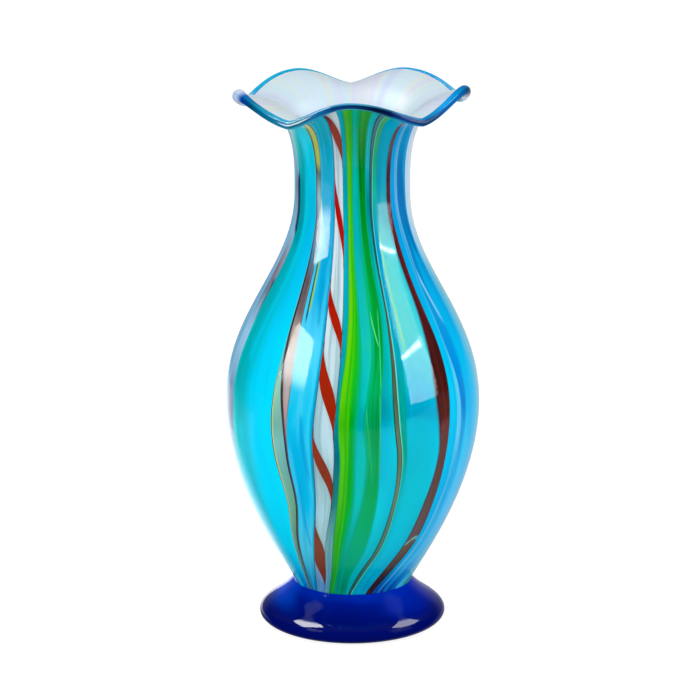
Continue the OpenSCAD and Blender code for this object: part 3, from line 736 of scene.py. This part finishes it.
# Angle round the lip, colour of the trail's thin edges and colour of its thick core, which is darker partly
# as painted shade of what the glass bends
TRAIL_COLOURS = [
    (-180, (195, 208, 216), (150, 180, 200)), (-164, (60, 185, 216), (20, 150, 192)),
    (-140, (20, 176, 212), (0, 140, 184)), (-118, (25, 165, 208), (0, 122, 176)),
    # The pale stops from -110 to -76 are a painted highlight on the left tip of the lip
    (-110, (150, 200, 235), (140, 185, 228)), (-94, (205, 215, 235), (180, 200, 228)),
    (-76, (198, 214, 238), (165, 195, 230)), (-69, (12, 98, 176), (0, 60, 150)),
    (-58, (16, 118, 158), (0, 66, 96)), (-48, (30, 146, 184), (0, 98, 136)),
    (-36, (50, 170, 210), (6, 112, 150)), (-28, (60, 165, 195), (0, 92, 112)),
    (-18, (45, 145, 200), (0, 98, 148)), (-10, (60, 150, 190), (0, 52, 108)),
    (1, (75, 170, 205), (0, 42, 88)), (10, (45, 140, 175), (0, 12, 44)), (18, (10, 90, 130), (0, 14, 62)),
    (26, (30, 130, 185), (0, 48, 118)), (41, (16, 122, 180), (0, 50, 96)),
    (51, (20, 155, 225), (6, 92, 165)), (62, (0, 140, 210), (0, 104, 172)),
    (74, (14, 112, 176), (6, 72, 124)), (82, (50, 92, 132), (6, 36, 62)),
    # The pale stop at 92 is a painted highlight on the right tip of the lip
    (92, (225, 224, 236), (200, 210, 226)), (104, (110, 188, 226), (50, 150, 205)),
    (135, (25, 158, 214), (0, 122, 190)), (160, (50, 172, 216), (25, 142, 195)),
    (180, (195, 208, 216), (150, 180, 200)),
]


def trail_glass():
    """Blue glass with a colour that drifts round the lip. Where it faces outward its core is darker, partly
    for the thick glass and partly as painted shade of what the glass bends, and its tips carry painted
    highlights.
    """
    glass = Glass("blue_trail_glass")
    outward, above, _ = glass.split(glass.node("Attribute", attribute_name="facing").outputs["Vector"])
    x, y, _ = glass.where()
    drift = glass.noise(glass.spot(x * 45, y * 45)) - 0.5
    angle = glass.angle(x, y) * (180 / math.pi)
    place = (angle + drift * 8) / 360 + 0.5
    thin, core = [glass.ramp(place, [(row[0] / 360 + 0.5, *row[kind]) for row in TRAIL_COLOURS])
                  for kind in (1, 2)]
    # Painted shade: the core of the bead, where it faces outward, is darkened partly for its thick glass
    # and partly to stand for what the glass bends
    core_and_painted_shade = 1 - (abs(above) + outward * 0.1 + drift * 0.3).over(0.52, 0.97)
    gloss = glass.node("BsdfAnisotropic", {"Roughness": 0.1})
    normal = glass.node("NewGeometry").outputs["Normal"]
    face_on = x.over(-0.052, -0.040) * 0.02 - x.over(-0.01, 0.02) * 0.013
    mirrors = mirror_share(glass, normal, face_on, 0.26)
    return glass.surface(glass.blend(mirrors, glass.body(glass.mix(core_and_painted_shade, thin, core), 0.5), gloss))


def cobalt_glass():
    """Deep blue glass, lighter up towards the seat, with a painted glow of light through it high on the
    left flank and a painted reflection high on the right flank.
    """
    glass = Glass("cobalt_glass")
    where = glass.node("TexCoord").outputs["Object"]
    x, y, z = glass.split(where)
    drift = glass.noise(where, scale=34.0, detail=1.0) - 0.5
    height = (z + drift * 0.006).over(0.006, 0.027)
    colour = glass.ramp(height, [
        (0.0, 0, 10, 94), (0.4, 0, 12, 104), (0.8, 0, 20, 124), (1.0, 0, 36, 158)])
    flank = (z + drift * 0.006).over(0.010, 0.020)
    side = x * 0.8 - y * 0.2 + drift * 0.03
    # Painted glow: light through the glass, painted as brighter blue high on the left flank
    glow = (1 - side.over(-0.040, -0.016)) * side.over(-0.058, -0.040) * flank
    colour = glass.mix(glow * 0.85, colour, (0, 82, 226))
    # Painted reflection: a paler blue band high on the right flank
    colour = glass.mix(side.over(0.020, 0.034) * flank * 0.5, colour, (0, 40, 185))
    gloss = glass.node("BsdfAnisotropic", {"Roughness": 0.03})
    rim = z.over(0.0086, 0.0096) * (1 - z.over(0.0112, 0.0124))
    normal = glass.node("NewGeometry").outputs["Normal"]
    mirrors = mirror_share(glass, normal, rim * 0.03 + 0.0012, 0.075) * 0.65
    return glass.surface(glass.blend(mirrors, glass.body(colour, 0.5), gloss))


def red_glass():
    """Red glass that browns towards the foot, with edges that turn in dark."""
    glass = Glass("red_glass")
    across, along, _ = glass.where("UV")
    fine = glass.noise(glass.spot(across * 3, along * 8))
    colour = glass.ramp(along, [(rise(z), *colour) for z, *colour in (
        (30, 112, 45, 38), (60, 130, 70, 50), (95, 128, 48, 26), (120, 134, 52, 32), (150, 146, 34, 6),
        (185, 156, 30, 4), (215, 164, 16, 2), (265, 162, 16, 10), (300, 146, 56, 44))])
    colour = glass.mix(fine.over(0.5, 0.75) * 0.4, colour, (110, 14, 6))
    for turned in (1 - across.over(0.0, 0.16), across.over(0.84, 1.0)):
        colour = glass.mix(turned * 0.9, colour, (62, 16, 18))
    return glass.surface(glass.body(colour, 0.6))


# ---------- canes, cut from one skin

cane_skin = copy_of(skin, "canes")
uv_map = cane_skin.data.uv_layers.new(name="UVMap")
for face in cane_skin.data.polygons:
    middle = degrees_of(face.center)
    n = cane_at(middle)
    face.material_index = n
    for corner in face.loop_indices:
        co = cane_skin.data.vertices[cane_skin.data.loops[corner].vertex_index].co
        angle = degrees_of(co)
        if angle - middle > 180:
            angle -= 360
        elif middle - angle > 180:
            angle += 360
        uv_map.data[corner].uv = ((angle - STARTS[n]) / WIDTHS[n], rise(co.z / MM))
for v in cane_skin.data.vertices:
    angle = degrees_of(v.co)
    angle = round(angle) if abs(angle - round(angle)) < 0.01 else angle
    angle = angle - 360 if angle >= FRONT_LEFT + 360 else angle
    v.co = round_axis(drawn(angle, v.co.z), math.hypot(v.co.x, v.co.y), v.co.z)
ruffled(cane_skin)
sunk(cane_skin, CANE_DEPTH)
for n, (name, cane) in enumerate(CANES.items()):
    cane_skin.data.materials.append(cane_glass(name, seed=n * 3.7, **cane))
edit(cane_skin)
bpy.ops.mesh.separate(type="MATERIAL")
done()
cut = [o for o in bpy.context.scene.objects if o.type == "MESH" and o.name.startswith("canes")]
for piece in cut:
    material = piece.data.materials[piece.data.polygons[0].material_index]
    name = material.name
    piece.name = name + "_drawn"
    if name.startswith("white"):
        thickened(sunk(piece, WHITE_SUNK), CANE_T - WHITE_SUNK)
    else:
        thickened(piece, CANE_T)
    for face in piece.data.polygons:
        face.material_index = 0
    smooth(piece)
    finish_piece(piece, material, name.split("_")[0] + "_glass", name)

# ---------- ribbons wound on the white canes

# A pass crosses the front of its cane from its left edge to its right edge: its heights in millimetres,
# and its breadth as a share of the crossing
PASSES = [(326, 288, 0.55), (287, 230, 0.38), (224, 182, 0.34),
          (191, 134, 0.42), (141, 89, 0.32), (80, 27, 1.0)]
RIBBON_TIP, RIBBON_MARGIN = 0.04, 0.01     # breadth of a tip, and bare edge, as shares of the cane
RIBBON_TOP = LIP_Z - 0.0005                # the ribbon is cut off here, under the trail


def ease(t):
    return (1 - math.cos(math.pi * min(max(t, 0), 1))) / 2


def ribbon_pass(n, top, bottom, breadth):
    """One strip of ribbon that crosses the front of a cane on a slant, with narrow tips."""
    ribbon = added(bpy.ops.mesh.primitive_grid_add, x_subdivisions=6, y_subdivisions=60,
                   size=1, calc_uvs=True)
    uv = ribbon.data.uv_layers[0]
    first = max(0, (top * MM - RIBBON_TOP) / ((top - bottom) * MM))
    for v in ribbon.data.vertices:
        across, down = v.co.x + 0.5, first + (1 - first) * (0.5 - v.co.y)
        turn = down * (1 + breadth)
        left, right = min(ease(turn - breadth), 1 - RIBBON_TIP), max(ease(turn), RIBBON_TIP)
        u = RIBBON_MARGIN + (1 - 2 * RIBBON_MARGIN) * (left + (right - left) * across)
        z = (top + (bottom - top) * down) * MM
        radius, height, share = wall_spot(z, RIBBON_DEPTH)
        angle = drawn(STARTS[n] + (STARTS[n + 1] - STARTS[n]) * u, z, n)
        height += share * RUFFLE_RISE * ruffle(angle)
        v.co = round_axis(angle, radius, height)
    for face in ribbon.data.polygons:
        for corner in face.loop_indices:
            co = uv.data[corner].uv
            z = top + (bottom - top) * (first + (1 - first) * (1 - co[1]))
            uv.data[corner].uv = (1 - co[1], rise(z))
    return ribbon


passes = [ribbon_pass(NAMES.index(cane), *turn)
          for cane in ("white_cane_1", "white_cane_2") for turn in PASSES]
pick(passes[0])
for ribbon in passes[1:]:
    ribbon.select_set(True)
bpy.ops.object.join()
ribbons = bpy.context.object
ribbons.name = "red_ribbons_wound"
edit(ribbons)
bpy.ops.mesh.normals_make_consistent(inside=False)
done()
turn_out(ribbons)
modify(ribbons, "SOLIDIFY", thickness=RIBBON_T, offset=-1)
smooth(ribbons)
finish_piece(ribbons, red_glass(), "red_glass", "red_ribbons")

# ---------- lining

lining = copy_of(skin, "opal_lining_blown")
ruffled(lining)
sunk(lining, LINING_DEPTH)
thickened(lining, LINING_T)
# The rim at the seat is opened, the inner wall rounds into a bottom, and a flat closes the outer wall
choose(lining, "FACE", lambda face: face.center.z < SEAT_Z + NEAR_SEAT and face.normal.z < -0.9)
bpy.ops.mesh.delete(type="ONLY_FACE")
done()
rim_r = min(math.hypot(v.co.x, v.co.y) for v in lining.data.vertices
            if abs(v.co.z - HOLLOW_RIM_Z) < NEAR_RIM)
for v in lining.data.vertices:
    radius = math.hypot(v.co.x, v.co.y)
    skin_r = wall_spot(v.co.z, LINING_DEPTH + LINING_T / 2)[0]
    if v.co.z < HOLLOW_RIM_Z and radius < skin_r:
        dip = math.pi / 2 * (HOLLOW_RIM_Z - v.co.z) / (HOLLOW_RIM_Z - SEAT_Z)
        shrink = rim_r * math.cos(dip) / radius
        v.co.x, v.co.y = v.co.x * shrink, v.co.y * shrink
        v.co.z = HOLLOW_RIM_Z - (HOLLOW_RIM_Z - FLOOR_Z) * math.sin(dip)
edit(lining)
bpy.ops.mesh.remove_doubles(threshold=MERGE)
done()
choose(lining, "VERT", lambda v: v.co.z < SEAT_Z + NEAR_SEAT)
bpy.ops.mesh.edge_face_add()
done()
smooth(lining)
finish_piece(lining, opal_glass(), "opal_glass", "opal_lining")

# ---------- casing

casing = copy_of(skin, "clear_casing_blown")
ruffled(casing)
thickened(casing, CASING_T)
smooth(casing)
finish_piece(casing, clear_glass(), "clear_glass", "clear_casing")
bpy.data.objects.remove(skin)

# ---------- trail on the lip

TRAIL_R = 0.00218
TRAIL_RING = TRAIL_REACH - TRAIL_R
TRAIL_Z = LIP_Z + 0.00128
# Thickness of the trail round the lip, as a share of TRAIL_R
TRAIL_SHARES = [(-150, 1.0), (-116, 1.1), (-98, 1.5), (-84, 1.8), (-72, 1.4), (-60, 1.14), (-33, 1.18),
                (-12, 0.92), (2, 0.84), (18, 0.94), (38, 1.12), (60, 1.16), (82, 1.42), (104, 1.1),
                (150, 0.88), (181, 0.7), (210, 1.0)]
trail = added(bpy.ops.mesh.primitive_circle_add, vertices=TURN, radius=TRAIL_RING,
              location=(0, 0, TRAIL_Z))
trail.name = "lip_trail_wound"
bpy.ops.object.transform_apply(location=True, rotation=True, scale=True)
for v in trail.data.vertices:
    v.co.z += RUFFLE_RISE * ruffle(degrees_of(v.co))
pick(trail)
bpy.ops.object.convert(target="CURVE")
trail = bpy.context.object
trail.data.bevel_depth, trail.data.bevel_resolution = TRAIL_R, 10
for spot in trail.data.splines[0].points:
    angle = wrapped(degrees_of(spot.co), TRAIL_SHARES[0][0])
    spot.radius = eased(angle, [a for a, _ in TRAIL_SHARES], [share for _, share in TRAIL_SHARES])
bpy.ops.object.convert(target="MESH")
trail = bpy.context.object
# Which way each spot of the trail faces: outward and up
facing = trail.data.attributes.new("facing", "FLOAT_VECTOR", "POINT")
for v in trail.data.vertices:
    angle = degrees_of(v.co)
    outward = math.hypot(v.co.x, v.co.y) - TRAIL_RING
    above = v.co.z - TRAIL_Z - RUFFLE_RISE * ruffle(angle)
    length = math.hypot(outward, above)
    facing.data[v.index].vector = (outward / length, above / length, 0)
smooth(trail, 60)
finish_piece(trail, trail_glass(), "blue_trail_glass", "lip_trail")

# ---------- foot

FOOT_EDGE_Z, REST_R, PONTIL_R, PONTIL_DEPTH = 0.0055, 0.047, 0.022, 0.0025
ROUND = 0.5523                             # handle that makes a quarter circle
SEAT_ANGLE, SEAT_HANDLE = math.radians(56), 0.014
EDGE_HANDLE, REST_HANDLE, TOP_HANDLE = 0.006, 0.004, 0.01
FOOT_KNOTS = [
    ((0, PONTIL_DEPTH), (0, PONTIL_DEPTH), (PONTIL_R / 2, PONTIL_DEPTH)),
    ((PONTIL_R, 0), (PONTIL_R * 0.7, PONTIL_DEPTH * 0.35), (PONTIL_R + REST_HANDLE, 0)),
    ((REST_R, 0), (REST_R - REST_HANDLE, 0), (REST_R + (FOOT_R - REST_R) * ROUND, 0)),
    ((FOOT_R, FOOT_EDGE_Z), (FOOT_R, FOOT_EDGE_Z * (1 - ROUND)), (FOOT_R, FOOT_EDGE_Z + EDGE_HANDLE)),
    ((SEAT_R, FOOT_TOP),
     (SEAT_R + SEAT_HANDLE * math.cos(SEAT_ANGLE), FOOT_TOP - SEAT_HANDLE * math.sin(SEAT_ANGLE)),
     (SEAT_R - TOP_HANDLE, FOOT_TOP)),
    ((0, FOOT_TOP), (TOP_HANDLE, FOOT_TOP), (0, FOOT_TOP)),
]
foot = spun(outline("foot_pressed", FOOT_KNOTS, 14), 240)
smooth(foot)
finish_piece(foot, cobalt_glass(), "cobalt_glass", "foot")

# ---------- studio

DOWNWARD = 15.14                           # degrees that the camera looks down
camera = added(bpy.ops.object.camera_add, location=(-0.0014, -2.0, 0.71),
               rotation=(math.radians(90 - DOWNWARD), 0, 0))
camera.data.lens, camera.data.sensor_width = 177.4, 36
camera.data.clip_end = 60
bpy.context.scene.camera = camera

floor = added(bpy.ops.mesh.primitive_plane_add, size=24, location=(0, 0, 0))
floor.name = "studio_floor"
paper = Glass("pale_paper")
rays = paper.node("LightPath").outputs
seen = paper.maths("MAXIMUM", rays["Is Camera Ray"], rays["Is Transmission Ray"])
toward_right, toward_back, _ = paper.where()
left = 1 - toward_right.over(-0.06, 0.06)
# What polished glass sees of the table: a dim sheet, and a bright part behind on the left
table = (toward_back.over(-0.70, -0.66) * (0.26 - left * 0.14)
         + toward_back.over(0.0, 0.06) * (1 - toward_back.over(0.45, 0.80))
         * toward_right.over(-1.0, -0.35) * left * 0.85)
# The sheet holds the vase's shadow, and glows enough to meet the white behind it
matt = paper.node("BsdfDiffuse", {"Color": (0.9, 0.9, 0.9, 1)})
unlit = paper.node("BsdfDiffuse", {"Color": (0, 0, 0, 1)})
white = paper.node("Emission", {"Strength": 1.18})
lit_table = paper.node("Emission", {"Strength": 3.2})
floor.data.materials.append(paper.surface(paper.blend(
    rays["Is Glossy Ray"], paper.blend(seen * 0.75, matt, white), paper.blend(table, unlit, lit_table))))
floor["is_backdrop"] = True

FADE = 0.13                                # half the breadth of a lamp's fade


def lamp(name, spot, aim, width, height, watts, fade=0, **seen_by):
    """A soft rectangular lamp that faces a point. It may fade out below a share of its height."""
    made = added(bpy.ops.object.light_add, type="AREA", location=spot)
    made.name = name
    made.data.shape = "RECTANGLE"
    made.data.size, made.data.size_y, made.data.energy = width, height, watts
    made.rotation_euler = (made.location - Vector(aim)).to_track_quat("Z", "Y").to_euler()
    for kind, value in seen_by.items():
        setattr(made, "visible_" + kind, value)
    if fade:
        cloth = Glass(name, made.data)
        _, up, _ = cloth.split(cloth.node("NewGeometry").outputs["Parametric"])
        glow = cloth.node("Emission", {"Strength": up.over(fade - FADE, fade + FADE)})
        cloth.node("OutputLight", {"Surface": glow.outputs[0]})


# Two wide lamps light the glass, and the others only show as reflections in it
for side, angle in (("left", -50), ("right", 50)):
    lamp(side + "_wash", round_axis(angle, 1.6, 1.3), (0, 0, 0.16), 1.2, 1.2, 18,
         glossy=False, transmission=False)
# Angle, distance and height of each lamp, where it aims, its width and height, watts and fade
for name, angle, far, high, aim, width, height, watts, fade in (
        ("left_softbox", -53, 0.33, 0.24, round_axis(-53, 0.1, 0.24), 0.15, 0.27, 5.2, 0.465),
        ("right_softbox", 65, 0.60, 0.31, round_axis(65, 0.1, 0.31), 0.32, 0.31, 5.0, 0),
        ("right_softbox_top", 65, 0.60, 0.55, round_axis(65, 0.1, 0.50), 0.32, 0.16, 1.3, 0),
        ("right_bar", 62, 0.58, 0.43, round_axis(62, 0.1, 0.40), 0.28, 0.024, 1.5, 0),
        ("left_overhead", -96, 0.52, 0.85, (-0.03, 0, 0.01), 0.36, 0.36, 14, 0),
        ("right_overhead", 96, 0.66, 0.76, (0.03, 0, 0.01), 0.46, 0.34, 8, 0)):
    lamp(name, round_axis(angle, far, high), aim, width, height, watts, fade,
         diffuse=False, transmission=False)

world = bpy.data.worlds.new("studio")
bpy.context.scene.world = world
air = Glass("studio", world)
rays = air.node("LightPath").outputs
toward_right, toward_back, up = air.where("Generated")
# Polished glass sees a pale backdrop low behind the vase, and a dim room above
backdrop = (toward_back.over(0.35, 0.95) * (1 - up.over(0.12, 0.5))
            * (0.42 + toward_right.over(-0.4, 0.2) * 0.2))
room = up.over(0.0, 0.12) * 0.16
mirrored = air.maths("MAXIMUM", backdrop, room)
seen = air.maths("MAXIMUM", rays["Is Camera Ray"], rays["Is Transmission Ray"])
fill, white, dark = [air.node("Background", {"Color": (1, 1, 1, 1), "Strength": strength})
                     for strength in (0.52, 1.0, 0.0)]
air.node("OutputWorld", {"Surface": air.blend(
    rays["Is Glossy Ray"], air.blend(seen, fill, white), air.blend(mirrored, dark, white)).outputs[0]})

bpy.context.scene.view_settings.view_transform = "Standard"

low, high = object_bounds()
